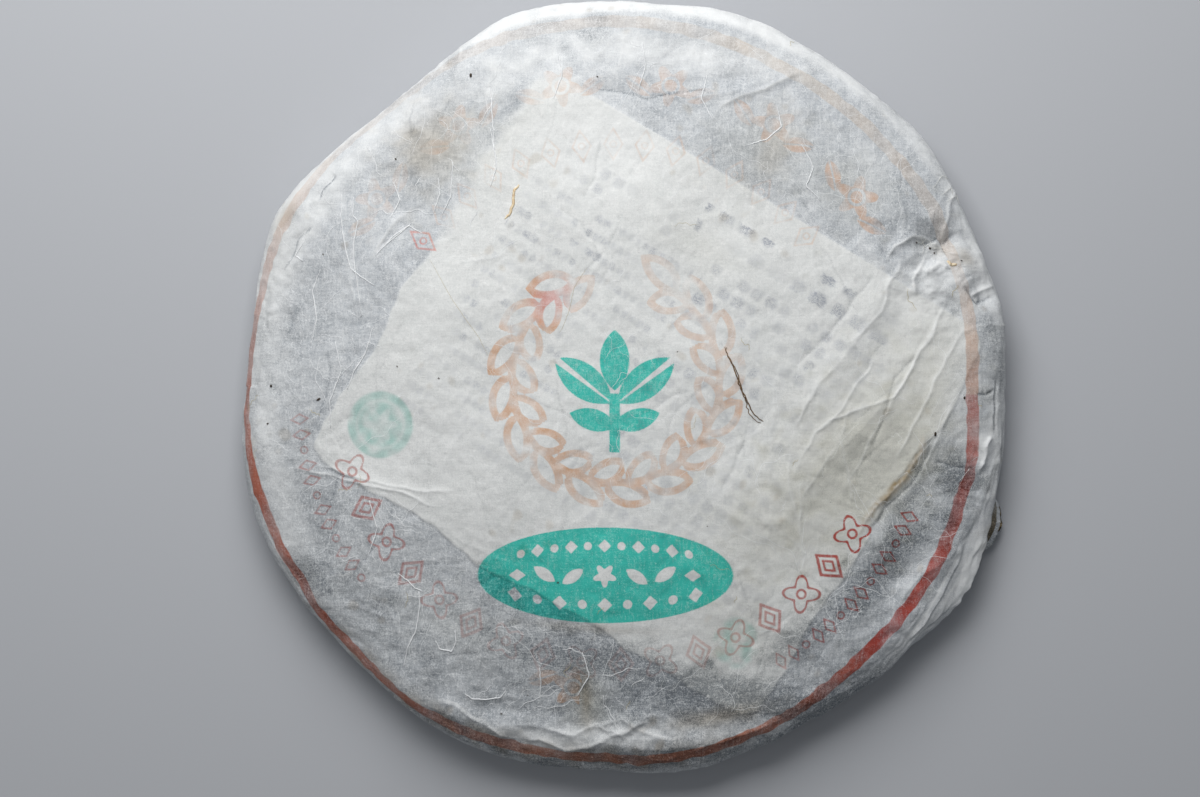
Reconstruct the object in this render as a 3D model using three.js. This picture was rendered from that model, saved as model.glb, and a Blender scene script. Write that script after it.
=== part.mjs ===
// A disc of pressed tea leaves shut in its thin paper wrapper, lying on its pleated back.
// The printed face is up, +Y is the top of the print, and the origin is under the middle of the
// disc on the plane that it rests on. Millimetres, +Z up.
import * as THREE from "three";

const { clamp, degToRad, euclideanModulo, lerp, smoothstep } = THREE.MathUtils;

// The wrapped disc
const OUTLINE_RADIUS = 102;
const THICKNESS = 22.5;
const SHOULDER_HEIGHT = 15.5;
const RIM_HEIGHT = 8.2;
const SHOULDER_RUN = 9.5;
const UNDERCUT_RUN = 12.5;
const DOME_POWER = 2.4;

// Straight stretches of the outline, where the paper is pulled tight from corner to corner:
// the direction that each one faces, in degrees, and how far it lies inside the full circle
const FLATS = [
  { faces: 24, inside: 2.3 },
  { faces: 55, inside: 1.3 },
  { faces: 88, inside: 1.3 },
  { faces: 129, inside: 6.4 },
  { faces: 173, inside: 3.8 },
  { faces: 224, inside: 1.2 },
  { faces: 267, inside: 0.6 },
  { faces: 301, inside: 1.7 },
  { faces: 335, inside: 1.2 },
];
const CORNER_SHARPNESS = 60;

// The back: pleats laid over each other like a fan, drawn into a dimple in the middle
const PLEATS = 18;
const PLEAT_UNEVENNESS = 0.34;
const PLEAT_DEPTH = 1.1;
const DIMPLE_FOLD_DEPTH = 1.7;
const PLEAT_SWIRL = degToRad(24);
const PRESSED_FLAT = 0.33;
const DIMPLE_RADIUS = 27;
const DIMPLE_CEILING_RADIUS = 17;
const DIMPLE_DEPTH = 9;
const KNOT_RADIUS = 8;
const KNOT_DROP = 1.6;

// A fold of the back that stands out past the rim, low down on one side
const EAR = { middle: 335, halfWidth: 14, reach: 9.5, lean: degToRad(-42), spread: degToRad(34) };

// Ridges in the paper of the face: ends, sideways bow, height and half width
const RIDGES = [
  { from: [83, 22], to: [43, -30], bow: 3.5, height: 1.5, halfWidth: 4.2 },
  { from: [74, 35], to: [43, -10], bow: 2, height: 1.2, halfWidth: 3.6 },
  { from: [84, -6], to: [62, -34], bow: 2, height: 1.0, halfWidth: 4.0 },
  { from: [48, 82], to: [6, 74], bow: 3, height: 0.9, halfWidth: 3.2 },
  { from: [-85, -21], to: [-43, -31], bow: 1, height: 0.7, halfWidth: 3.2 },
  { from: [-59, 43], to: [-67, 33], bow: 1, height: 0.7, halfWidth: 3.2 },
  { from: [-66, -72], to: [-34, -88], bow: -2, height: 1.4, halfWidth: 3.6 },
  { from: [-40, -88], to: [-8, -91], bow: 2, height: 1.7, halfWidth: 3.8 },
  { from: [-12, -91], to: [34, -89], bow: -3, height: 1.7, halfWidth: 4.0 },
  { from: [88, -40], to: [66, -66], bow: -3, height: 1.0, halfWidth: 3.6 },
];

// Dents of the face: middle, radius and depth. The first two are the crumple at the right rim.
const DENTS = [
  { at: [81, 36], radius: 8, depth: 3.0 },
  { at: [94, 24], radius: 6, depth: 2.6 },
  { at: [17, -81], radius: 15, depth: 1.5 },
  { at: [46, -72], radius: 12, depth: 1.3 },
  { at: [72, -48], radius: 13, depth: 1.4 },
  { at: [-84, -50], radius: 8, depth: 1.6 },
];

// Slow waves of the paper over the leaves: waves per metre in X and Y, phase, and height
const WAVES = [
  { x: 118, y: 64, phase: 0.4, height: 0.28 },
  { x: -76, y: 132, phase: 2.1, height: 0.26 },
  { x: 190, y: -95, phase: 4.0, height: 0.17 },
  { x: 61, y: 214, phase: 5.2, height: 0.15 },
];

// How the rim ripples where the paper turns down: folds round the rim, phase, and depth
const RIPPLES = [
  { folds: 23, phase: 0.7, depth: 0.34 },
  { folds: 37, phase: 2.9, depth: 0.26 },
];
// The lower right side is more crumpled than the rest
const CRUMPLED = { middle: 318, halfWidth: 75, gain: 2.2 };

// The grid: rings from the top of the dome to the middle of the dimple, and columns that follow
// the pleats, closer together where one pleat steps down to the next
const DOME_RINGS = 16;
const SHOULDER_RINGS = 5;
const UNDERCUT_RINGS = 6;
const BACK_RINGS = 5;
const DIMPLE_RINGS = 7;
const COLUMN_PHASES = [0, 0.12, 0.3, 0.5, 0.7, 0.87, 0.97];

const UP = Math.PI / 2;

/** A fixed scatter: the share of number i on a golden-ratio walk, from 0 to 1. */
const scatter = (i) => euclideanModulo(i * 0.6180339887, 1);

/** A bump of height 1 in the middle of its width and 0 at its ends. */
const bump = (x) => (Math.abs(x) < 1 ? Math.cos((x * Math.PI) / 2) ** 2 : 0);

/** The signed turn from angle b to angle a, from -180 to 180 degrees, in degrees. */
const turn = (a, b) => euclideanModulo(a - b + 180, 360) - 180;

/** How far the outline is from the middle, towards an angle: a circle cut by the flats. */
function outlineRadius(angle) {
  let sum = OUTLINE_RADIUS ** -CORNER_SHARPNESS;
  for (const { faces, inside } of FLATS) {
    const away = degToRad(turn((angle * 180) / Math.PI, faces));
    if (Math.abs(away) < 1) sum += ((OUTLINE_RADIUS - inside) / Math.cos(away)) ** -CORNER_SHARPNESS;
  }
  return sum ** (-1 / CORNER_SHARPNESS);
}

/** Where pleat i starts, in turns. */
const pleatStart = (i) => (i + PLEAT_UNEVENNESS * (scatter(i % PLEATS) - 0.5)) / PLEATS;

/** The height of the face above or below its dome at a point: waves, ridges and dents. */
function faceRelief(x, y) {
  let height = 0;
  for (const wave of WAVES) {
    height += wave.height * Math.sin((x * wave.x + y * wave.y) / 1000 + wave.phase);
  }
  for (const { from, to, bow, height: crest, halfWidth } of RIDGES) {
    const along = new THREE.Vector2(to[0] - from[0], to[1] - from[1]);
    const length = along.length();
    along.normalize();
    const [dx, dy] = [x - from[0], y - from[1]];
    const share = clamp((dx * along.x + dy * along.y) / length, 0, 1);
    const beyond = dx * along.x + dy * along.y - share * length;
    const aside = dy * along.x - dx * along.y - bow * bump(2 * share - 1);
    height += crest * bump(Math.hypot(aside, beyond) / halfWidth) * bump(1.5 * share - 0.75);
  }
  for (const { at, radius, depth } of DENTS) {
    height -= depth * bump(Math.hypot(x - at[0], y - at[1]) / radius);
  }
  return height;
}

/** The rim's ripples at an angle, deeper on the crumpled side. */
function rimRipple(angle) {
  const near = bump(turn((angle * 180) / Math.PI, CRUMPLED.middle) / CRUMPLED.halfWidth);
  let depth = 0;
  for (const { folds, phase, depth: most } of RIPPLES) {
    depth += most * Math.abs(Math.sin((folds * angle) / 2 + phase));
  }
  return depth * lerp(1, CRUMPLED.gain, near);
}

/** How deep a pleat lies behind its own front edge, from 0 to 1, at a phase across the pleat. */
const pleatRecess = (phase) => smoothstep(phase, PRESSED_FLAT, 1);

/**
 * The rings of the section, from the top of the dome to the dimple. Each is a function of the
 * outline's radius that gives a point {r, z} and its outward normal {nr, nz}, with the shares
 * of the face's relief, the rim's ripple and the pleats that it takes, and its swirl.
 */
function sectionRings() {
  const rings = [];
  const crown = THICKNESS - SHOULDER_HEIGHT;
  const share = (i, n) => i / n;
  for (let i = 1; i <= DOME_RINGS; i++) {
    const u = share(i, DOME_RINGS) ** 0.92;
    rings.push((R) => ({
      r: u * (R - SHOULDER_RUN),
      z: THICKNESS - crown * u ** DOME_POWER,
      nr: 0,
      nz: 1,
      face: 1,
      rim: 0,
      pleat: 0,
      swirl: 0,
    }));
  }
  // The shoulder is part of an ellipse that leaves the dome at the dome's own slope.
  const slope = (crown * DOME_POWER) / (OUTLINE_RADIUS - SHOULDER_RUN);
  const drop = SHOULDER_HEIGHT - RIM_HEIGHT;
  const start = Math.atan2(drop / SHOULDER_RUN, slope);
  for (let i = 1; i <= SHOULDER_RINGS; i++) {
    const at = start * (1 - share(i, SHOULDER_RINGS));
    const reach = (Math.cos(at) - Math.cos(start)) / (1 - Math.cos(start));
    rings.push((R) => ({
      r: R - SHOULDER_RUN * (1 - reach),
      z: RIM_HEIGHT + (drop * Math.sin(at)) / Math.sin(start),
      nr: Math.cos(at),
      nz: Math.sin(at),
      face: Math.sin(at),
      rim: bump(at / UP),
      pleat: 0,
      swirl: 0,
    }));
  }
  for (let i = 1; i <= UNDERCUT_RINGS; i++) {
    const at = -UP * share(i, UNDERCUT_RINGS);
    const ear = bump((at - EAR.lean) / EAR.spread);
    rings.push((R) => ({
      r: R - UNDERCUT_RUN * (1 - Math.cos(at)),
      z: RIM_HEIGHT * (1 + Math.sin(at)),
      nr: Math.cos(at),
      nz: Math.sin(at),
      face: 0,
      rim: bump(at / UP),
      pleat: Math.sin(at) ** 2 * PLEAT_DEPTH,
      swirl: 0,
      ear,
    }));
  }
  for (let i = 1; i <= BACK_RINGS; i++) {
    const u = share(i, BACK_RINGS);
    rings.push((R) => ({
      r: lerp(R - UNDERCUT_RUN, DIMPLE_RADIUS, u),
      z: 0,
      nr: 0,
      nz: -1,
      face: 0,
      rim: 0,
      pleat: PLEAT_DEPTH,
      swirl: PLEAT_SWIRL * 0.6 * u,
    }));
  }
  for (let i = 1; i <= DIMPLE_RINGS; i++) {
    const u = share(i, DIMPLE_RINGS + 1);
    const r = DIMPLE_RADIUS * (1 - u);
    const rise = smoothstep(DIMPLE_RADIUS - r, 0, DIMPLE_RADIUS - DIMPLE_CEILING_RADIUS);
    rings.push(() => ({
      r,
      z: DIMPLE_DEPTH * rise - KNOT_DROP * bump(r / KNOT_RADIUS),
      nr: 0,
      nz: -1,
      face: 0,
      rim: 0,
      pleat: lerp(PLEAT_DEPTH, DIMPLE_FOLD_DEPTH, rise) * smoothstep(r, 0, DIMPLE_CEILING_RADIUS),
      swirl: PLEAT_SWIRL * (0.6 + 0.4 * u),
    }));
  }
  return rings;
}

/** One vertex: a ring's point at an angle, moved along its normal by the relief that it takes. */
function wrapperPoint(ring, pleat, phase) {
  const turns = lerp(pleatStart(pleat), pleatStart(pleat + 1), phase);
  const angle = turns * 2 * Math.PI;
  const R = outlineRadius(angle);
  const at = ring(R);
  const degrees = (angle * 180) / Math.PI;
  let r = at.r;
  if (at.ear) r += EAR.reach * at.ear * bump(turn(degrees, EAR.middle) / EAR.halfWidth);
  const around = angle + at.swirl;
  const [x, y] = [r * Math.cos(around), r * Math.sin(around)];
  const depth = 0.75 + 0.5 * scatter(3 * pleat + 1);
  const out =
    at.face * faceRelief(x, y) - at.rim * rimRipple(angle) - at.pleat * depth * pleatRecess(phase);
  const wide = (r + at.nr * out) / r;
  return new THREE.Vector3(x * wide, y * wide, at.z + at.nz * out);
}

/** The whole closed surface, as rings of vertices between a pole in the dome and one in the dimple. */
function wrapperGeometry() {
  const rings = sectionRings();
  const columns = PLEATS * COLUMN_PHASES.length;
  const points = [new THREE.Vector3(0, 0, THICKNESS + faceRelief(0, 0))];
  for (const ring of rings) {
    for (let pleat = 0; pleat < PLEATS; pleat++) {
      for (const phase of COLUMN_PHASES) points.push(wrapperPoint(ring, pleat, phase));
    }
  }
  const last = points.length;
  points.push(new THREE.Vector3(0, 0, DIMPLE_DEPTH - KNOT_DROP));

  const index = [];
  const vertex = (ring, column) => 1 + ring * columns + (column % columns);
  for (let column = 0; column < columns; column++) {
    index.push(0, vertex(0, column), vertex(0, column + 1));
    for (let ring = 0; ring + 1 < rings.length; ring++) {
      const [a, b] = [vertex(ring, column), vertex(ring + 1, column)];
      const [c, d] = [vertex(ring + 1, column + 1), vertex(ring, column + 1)];
      index.push(a, b, c, a, c, d);
    }
    index.push(vertex(rings.length - 1, column), last, vertex(rings.length - 1, column + 1));
  }
  const geometry = new THREE.BufferGeometry().setFromPoints(points).setIndex(index);
  geometry.computeVertexNormals();
  return geometry;
}

const paper = new THREE.MeshStandardMaterial({ color: 0xced0ce, roughness: 0.85, metalness: 0 });
const cake = new THREE.Mesh(wrapperGeometry(), paper);
cake.name = "wrapped_tea_cake";

// The middle of the box round the disc goes over the origin.
cake.geometry.computeBoundingBox();
const { min, max } = cake.geometry.boundingBox;
cake.position.set(-(min.x + max.x) / 2, -(min.y + max.y) / 2, -min.z);

const object = new THREE.Group();
object.add(cake);

export default object;
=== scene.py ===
"""A disc of pressed tea shut in its thin printed paper, lying face up on its pleated back.

Lengths are worked out in millimetres about the outline's own middle, as in the solid, and go into
the meshes in metres. The printed face is up and +Y is the top of the print.
"""

import math

import bpy
import numpy as np
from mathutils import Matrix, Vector


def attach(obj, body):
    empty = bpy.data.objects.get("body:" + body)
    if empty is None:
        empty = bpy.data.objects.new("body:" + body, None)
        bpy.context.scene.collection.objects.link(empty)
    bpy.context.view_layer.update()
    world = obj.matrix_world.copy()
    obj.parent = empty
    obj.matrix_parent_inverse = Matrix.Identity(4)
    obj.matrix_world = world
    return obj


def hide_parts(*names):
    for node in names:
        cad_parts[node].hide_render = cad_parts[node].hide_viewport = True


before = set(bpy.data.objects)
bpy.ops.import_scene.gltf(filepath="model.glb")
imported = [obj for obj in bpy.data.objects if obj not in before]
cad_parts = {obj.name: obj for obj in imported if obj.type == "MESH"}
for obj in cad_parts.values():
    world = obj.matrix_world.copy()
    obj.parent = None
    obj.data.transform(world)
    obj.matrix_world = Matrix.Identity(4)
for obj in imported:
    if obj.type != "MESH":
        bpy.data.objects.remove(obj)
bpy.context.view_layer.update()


# The paper over the face
# One round sheet of handmade cotton paper is laid over the pressed disc, drawn tight over the
# domed face and the rolled rim, and turned under. It is creased where hands gathered it, most
# of all at the right, and it shows the leaf and a slanted inner sheet through itself.

OUTLINE_RADIUS = 102.0
THICKNESS = 22.5
SHOULDER_HEIGHT = 15.5
RIM_HEIGHT = 8.2
SHOULDER_RUN = 9.5
UNDERCUT_RUN = 12.5
DOME_POWER = 2.4
CORNER_SHARPNESS = 60
MIDDLE = (-1.037, 0.161)  # where the outline's own middle lies in the part's frame

# Each flat of the outline: the direction it faces in degrees, and how far it lies inside
FLATS = (
    (24, 2.3), (55, 1.3), (88, 1.3), (129, 6.4), (173, 3.8),
    (224, 1.2), (267, 0.6), (301, 1.7), (335, 1.2),
)

# Broad ridges of the face: two ends, bow, height and half width
RIDGES = (
    ((83, 22), (43, -30), 3.5, 0.8, 6.0),
    ((74, 35), (43, -10), 2, 0.7, 5.5),
    ((84, -6), (62, -34), 2, 0.35, 4.0),
    ((48, 82), (6, 74), 3, 0.7, 3.2),
    ((-66, -72), (-34, -88), -2, 0.9, 3.6),
    ((-40, -88), (-8, -91), 2, 1.3, 3.8),
    ((-12, -91), (34, -89), -3, 1.3, 4.0),
    ((88, -40), (66, -66), -3, 0.9, 3.6),
)

# Dents of the face: middle, radius and depth
DENTS = (
    ((81, 36), 8, 3.0), ((94, 24), 6, 2.6), ((17, -81), 15, 1.5),
    ((46, -72), 12, 1.3), ((72, -48), 13, 1.4), ((-84, -50), 8, 1.6),
)

# Slow waves of the paper: radians per metre in X and Y, phase, height
WAVES = ((118, 64, 0.4, 0.28), (-76, 132, 2.1, 0.26), (190, -95, 4.0, 0.17), (61, 214, 5.2, 0.15))

# The seam beside the inner sheet's lower right edge, where tea juice dried
SEAM = ((78, -11.5), (77, -17), (72.5, -24), (66.7, -29.6), (62.8, -34.3), (60, -40))

# Sharp creases, as lines through points: height (below zero for a furrow), half width, points
CREASES = (
    (0.34, 0.5, ((86, 24), (83, 21), (80, 13), (75, 6), (70, -3), (64, -5), (53, -9), (50, -12), (46, -19),
                 (43, -26))),
    (0.3, 0.5, ((72, 34), (71, 29), (68, 25), (67, 19), (64, 16), (60, 12), (56, 9))),
    (0.3, 0.45, ((65, 7), (59, -2), (54, -9), (50, -12))),
    (0.25, 0.45, ((55, 6), (52, 2), (48, -4), (44, -12))),
    (0.2, 0.45, ((84, 20), (76, 8), (66, -10), (60, -22), (55, -30))),
    (0.16, 0.45, ((60, -2), (56, -14), (47, -28), (45, -40))),
    (-0.25, 0.7, ((66, 30), (60, 22), (52, 12), (42, 2))),
    (-0.3, 0.7, ((78, 10), (70, 2), (66, -12), (63, -20))),
    (0.16, 0.45, ((46, -23), (46, -32), (47, -49), (47, -58))),
    (0.6, 0.9, ((50, 80), (47, 81), (42, 79), (37, 76), (30, 74), (26, 72), (23, 68))),
    (-0.6, 2.0, ((-8, 77), (7, 74), (18, 76), (27, 75))),
    (0.35, 0.9, ((-56, 45), (-60, 40), (-63, 35))),
    (-0.5, 0.9, ((-74, 55), (-79, 48))),
    (-0.45, 0.9, ((-80, 42), (-84, 38), (-86, 33), (-89, 29))),
    (0.4, 0.5, ((-86, -21), (-76, -23), (-58, -27), (-45, -32))),
    (0.35, 0.5, ((-80, -20), (-66, -24), (-52, -27), (-40, -27))),
    (0.45, 0.8, SEAM),
    (-0.4, 1.0, ((79.6, -11.5), (78.6, -18), (74.2, -25.5), (68.2, -31.2), (64.2, -36), (61, -42))),
    (0.7, 1.0, ((-48, -81), (-43, -82), (-39, -85), (-35, -87), (-31, -90), (-25, -92))),
    (0.9, 1.1, ((-27, -92), (-21, -91), (-14, -94), (-9, -93), (-4, -91), (1, -89), (5, -87), (12, -84))),
    (0.7, 1.0, ((18, -95), (22, -92), (27, -91), (33, -89), (38, -87), (42, -85))),
    (0.6, 0.9, ((-8, -88), (0, -86), (8, -90), (16, -92))),
    (0.5, 0.8, ((-20, -88), (-12, -90), (-6, -87), (4, -92))),
    (0.8, 0.6, ((95.6, -13), (94, -16), (93, -19.7), (92.2, -22))),
    (0.6, 0.6, ((98.2, -15.8), (99.2, -17.4), (97.9, -20.8), (97.4, -24.4), (95.6, -31))),
    (0.6, 0.5, ((88, -40), (86, -46), (82, -54.5), (78, -61.5), (72, -68.6))),
    (-0.5, 0.5, ((97.4, 2), (97, -6), (97, -14))),
    (-0.5, 0.5, ((91, -2.4), (93.5, -2.0), (97, -1.0))),
    (-0.4, 0.5, ((80, -19.2), (84, -20.6), (88, -20.8), (92.5, -21.6))),
    (0.4, 0.5, ((90.5, -47), (88, -51), (85, -54), (83, -60))),
    (0.35, 0.5, ((93, -40), (89, -48), (89.5, -55))),
    (-0.35, 0.6, ((86, -57), (82, -62), (77, -66))),
    (0.3, 0.5, ((70, -20), (78, -4), (84, 8), (90, 18))),
    (0.25, 0.45, ((76, -24), (82, -12), (86, -2))),
    (0.9, 0.8, ((68, 31), (70, 36), (74, 38), (78, 38), (81, 36), (85, 34), (88, 32))),
    (0.8, 0.8, ((76, 23), (75, 27), (77, 31), (79, 34))),
    (0.7, 0.7, ((79, 30), (82, 32), (85, 30))),
    (-0.9, 1.0, ((77, 36), (81, 38), (84, 37), (87, 40))),
    (0.8, 0.9, ((90, 23), (94, 25), (97, 26))),
    (-0.8, 0.9, ((88, 26), (92, 21), (98, 24))),
    (0.5, 0.8, ((83, 37), (84, 46), (87, 52))),
    (0.2, 0.6, ((-70, 50), (-69, 40), (-69.5, 28), (-68, 15))),
    (0.25, 0.6, ((-65, 32), (-61.5, 37), (-56.5, 43.5), (-52, 47))),
    (-0.22, 0.9, ((-76, 10), (-75, 2), (-78, -8), (-84, -18))),
    (-0.2, 0.8, ((-72, -52), (-62, -40), (-57, -28))),
    (0.2, 0.6, ((-34, 80), (-34.5, 72), (-33.5, 63))),
)

# Places where the paper is crumpled: middle, radius, and how deep the crumpling goes
CRUMPLES = (
    ((84, 30), 12, 0.9), ((96, 4), 9, 0.2), ((92, -30), 12, 0.25), ((78, -58), 13, 0.3),
    ((42, -88), 13, 0.5), ((5, -92), 15, 0.55), ((-35, -88), 13, 0.45), ((-74, -62), 12, 0.3),
    ((-93, 20), 11, 0.2), ((60, -22), 24, 0.08), ((-53, 61), 9, 0.34), ((-56, -56), 9, 0.2),
)

# The inner sheet under the paper: middle, half sides, turn in degrees, and corner radius
SHEET = ((6.9, -2.2), (67.1, 58.3), -31.5, 6.0)
SHEET_STEP = 0.22


def bump(x):
    """1 in the middle and 0 beyond one unit away, as a squared cosine."""
    return np.where(np.abs(x) < 1, np.cos(np.clip(x, -1, 1) * math.pi / 2) ** 2, 0.0)


def rise(x, low, high):
    """0 below low, 1 above high, and the smooth cubic step between them."""
    t = np.clip((x - low) / (high - low), 0, 1)
    return t * t * (3 - 2 * t)


def degrees_from(angle, middle):
    """How many degrees an angle lies past a middle one, from -180 to 180."""
    return np.mod(np.degrees(angle) - middle + 180, 360) - 180


def outline(angle):
    """The edge's distance from the middle: a circle cut by each flat's line, corners eased."""
    total = np.full(np.shape(angle), OUTLINE_RADIUS**-CORNER_SHARPNESS)
    for faces, inside in FLATS:
        away = np.radians(degrees_from(angle, faces))
        near = np.abs(away) < 1
        edge = (OUTLINE_RADIUS - inside) / np.cos(np.where(near, away, 0))
        total = total + np.where(near, edge**-CORNER_SHARPNESS, 0)
    return total ** (-1 / CORNER_SHARPNESS)


def rough(x, y, size, seed, waves=28):
    """Even random relief of unit strength: a sum of plane waves about size long, every way."""
    draw = np.random.default_rng(seed)
    total = np.zeros(np.shape(x))
    for _ in range(waves):
        way, phase = draw.uniform(0, 2 * math.pi, 2)
        k = 2 * math.pi / (size * draw.uniform(0.65, 1.6))
        total += np.cos(k * (x * math.cos(way) + y * math.sin(way)) + phase)
    return total * math.sqrt(2 / waves)


def folded(x, y, size, seed, folds=6):
    """Crumpled facets of unit strength: straight folds every way, each a zigzag bent a little."""
    draw = np.random.default_rng(seed)
    bend = 0.32 * rough(x, y, size * 3, seed + 1)
    total = np.zeros(np.shape(x))
    for _ in range(folds):
        way, phase = draw.uniform(0, 2 * math.pi), draw.uniform(0, 1)
        t = (x * math.cos(way) + y * math.sin(way)) / (size * draw.uniform(0.8, 2.4)) + phase + bend
        total += 2 * np.abs(t - np.round(t)) - 0.5
    return total * math.sqrt(12 / folds)


def from_line(x, y, points):
    """Distance to a line through points, and the place along it from 0 to 1, nearest part first."""
    ends = np.asarray(points, float)
    steps = np.hypot(*np.diff(ends, axis=0).T)
    start = np.concatenate(([0], np.cumsum(steps)))
    nearest, place = np.full(np.shape(x), 1e9), np.zeros(np.shape(x))
    for (ax, ay), (bx, by), length, done in zip(ends[:-1], ends[1:], steps, start):
        share = np.clip(((x - ax) * (bx - ax) + (y - ay) * (by - ay)) / length**2, 0, 1)
        far = np.hypot(x - ax - share * (bx - ax), y - ay - share * (by - ay))
        closer = far < nearest
        nearest = np.where(closer, far, nearest)
        place = np.where(closer, (done + share * length) / start[-1], place)
    return nearest, place


def turned(x, y, middle, degrees):
    """A point's place along and across a direction through a middle."""
    c, s = math.cos(math.radians(degrees)), math.sin(math.radians(degrees))
    dx, dy = x - middle[0], y - middle[1]
    return dx * c + dy * s, dy * c - dx * s


def inside_sheet(x, y):
    """Signed distance into the inner sheet: a rectangle with rounded corners and uneven edges,
    made shorter along its upper left side, where the sheet's edge shows less sharply."""
    middle, half, degrees, radius = SHEET
    p, q = turned(x, y, middle, degrees)
    a, b = np.abs(p) - half[0] + radius, np.abs(q) - half[1] + radius
    outside = np.hypot(np.maximum(a, 0), np.maximum(b, 0)) + np.minimum(np.maximum(a, b), 0) - radius
    straight = rise(q, half[1] - 14, half[1] - 3)
    vague = rise(-p, half[0] - 26, half[0] - 8) * rise(q, -12, 12)
    uneven = (1 - straight) * (0.6 * rough(x, y, 26, 31) + 0.2 * rough(x, y, 7, 32))
    return (uneven + vague * 0.5 * rough(x, y, 11, 33) - outside) * (1 - 0.8 * vague)


def broad_relief(x, y):
    """The face above its dome as the solid has it: waves, dents, and ridges with a bow, whose
    flanks are straighter here and meet in a crisp crest."""
    height = np.zeros(np.shape(x))
    for kx, ky, phase, tall in WAVES:
        height += tall * np.sin((x * kx + y * ky) / 1000 + phase)
    for (ax, ay), (bx, by), bow, tall, half in RIDGES:
        length = math.hypot(bx - ax, by - ay)
        ux, uy = (bx - ax) / length, (by - ay) / length
        run = (x - ax) * ux + (y - ay) * uy
        share = np.clip(run / length, 0, 1)
        aside = (y - ay) * ux - (x - ax) * uy - bow * bump(2 * share - 1)
        off = np.hypot(aside, run - share * length) / (half * 1.15)
        height += tall * np.clip(1 - off, 0, 1) ** 1.25 * bump(1.5 * share - 0.75)
    for (cx, cy), radius, depth in DENTS:
        height -= depth * bump(np.hypot(x - cx, y - cy) / radius)
    return height


def crumpling(x, y):
    """How crumpled the paper is at a point, in millimetres: the sum of soft round places."""
    total = np.full(np.shape(x), 0.1)
    for (cx, cy), radius, depth in CRUMPLES:
        total += depth * np.exp(-((x - cx) ** 2 + (y - cy) ** 2) / radius**2)
    return total


def stray_creases():
    """Fine creases all over the face, mostly up and down it, each a slightly bent line."""
    draw = np.random.default_rng(43)
    lines = []
    for _ in range(150):
        far, around = 92 * math.sqrt(draw.uniform()), draw.uniform(0, 2 * math.pi)
        way, turn = math.radians(draw.normal(75, 38)), math.radians(draw.normal(0, 6))
        x, y = far * math.cos(around), far * math.sin(around)
        points = [(x, y)]
        for _ in range(5):
            step = draw.uniform(1.5, 6.5)
            x, y, way = x + step * math.cos(way), y + step * math.sin(way), way + turn + draw.normal(0, 0.15)
            points.append((x, y))
        lines.append((draw.choice([-1, 1]) * draw.uniform(0.04, 0.18), draw.uniform(0.5, 1.0), points))
    return lines


def crease_lines(x, y):
    """The sharp creases: across each line the paper rises ever more steeply to a pointed crest,
    height * exp(-distance / half width), tapered to the line's ends. Also their crests' share."""
    height, crest = np.zeros(np.shape(x)), np.zeros(np.shape(x))
    bent_x, bent_y = x + 0.16 * rough(x, y, 7, 41), y + 0.16 * rough(x, y, 7, 42)
    for tall, half, points in (*CREASES, *stray_creases()):
        low, high = np.min(points, axis=0) - 5 * half, np.max(points, axis=0) + 5 * half
        near = (bent_x > low[0]) & (bent_x < high[0]) & (bent_y > low[1]) & (bent_y < high[1])
        far, place = from_line(bent_x[near], bent_y[near], points)
        taper = rise(place, 0, 0.15) * rise(1 - place, 0, 0.25)
        height[near] += tall * np.exp(-far / half) * taper
        crest[near] += min(1, 1.8 * abs(tall)) * np.sign(tall) * np.exp(-((far / 0.28) ** 2)) * taper
    return height, crest


def fine_relief(x, y):
    """What the solid leaves out: crumpled facets, leaf under the paper, the sheet's edge."""
    leaf = 0.07 * rough(x, y, 11, 51) + 0.045 * rough(x, y, 5, 52) + 0.03 * rough(x, y, 2.6, 53)
    thick = SHEET_STEP * rise(inside_sheet(x, y), -0.5, 0.5)
    facets = 0.42 * folded(x, y, 8, 54, 5) + 0.13 * folded(x, y, 3.4, 56, 5) + 0.04 * folded(x, y, 1.6, 58, 4)
    return leaf * (1 - 0.4 * thick / SHEET_STEP) + thick + crumpling(x, y) * facets


def section():
    """The wrapper's section: dome, shoulder, undercut and back, by length along the paper."""
    crown, drop = THICKNESS - SHOULDER_HEIGHT, SHOULDER_HEIGHT - RIM_HEIGHT
    flat = OUTLINE_RADIUS - SHOULDER_RUN
    u = np.linspace(0, 1, 300)
    start = math.atan2(drop / SHOULDER_RUN, crown * DOME_POWER / flat)
    a = start * (1 - np.linspace(0, 1, 80)[1:])
    b = -np.linspace(0, 1, 120)[1:] * math.pi / 2
    reach = (np.cos(a) - math.cos(start)) / (1 - math.cos(start))
    r = [u * flat, flat + SHOULDER_RUN * reach, OUTLINE_RADIUS - UNDERCUT_RUN * (1 - np.cos(b))]
    z = [
        THICKNESS - crown * u**DOME_POWER,
        RIM_HEIGHT + drop * np.sin(a) / math.sin(start),
        RIM_HEIGHT * (1 + np.sin(b)),
    ]
    none = np.zeros(len(u))
    columns = {
        "r": np.concatenate(r),
        "z": np.concatenate(z),
        "nr": np.concatenate([none, np.cos(a), np.cos(b)]),
        "nz": np.concatenate([none + 1, np.sin(a), np.sin(b)]),
        "face": np.concatenate([none + 1, np.sin(a), 0 * b]),
        "rim": np.concatenate([none, bump(2 * a / math.pi), bump(2 * b / math.pi)]),
        "pleat": np.concatenate([none, 0 * a, np.sin(b) ** 2]),
        "lean": np.concatenate([none + 90, np.degrees(a), np.degrees(b)]),
    }
    columns["path"] = np.concatenate(([0], np.cumsum(np.hypot(np.diff(columns["r"]), np.diff(columns["z"])))))
    return columns


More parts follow.
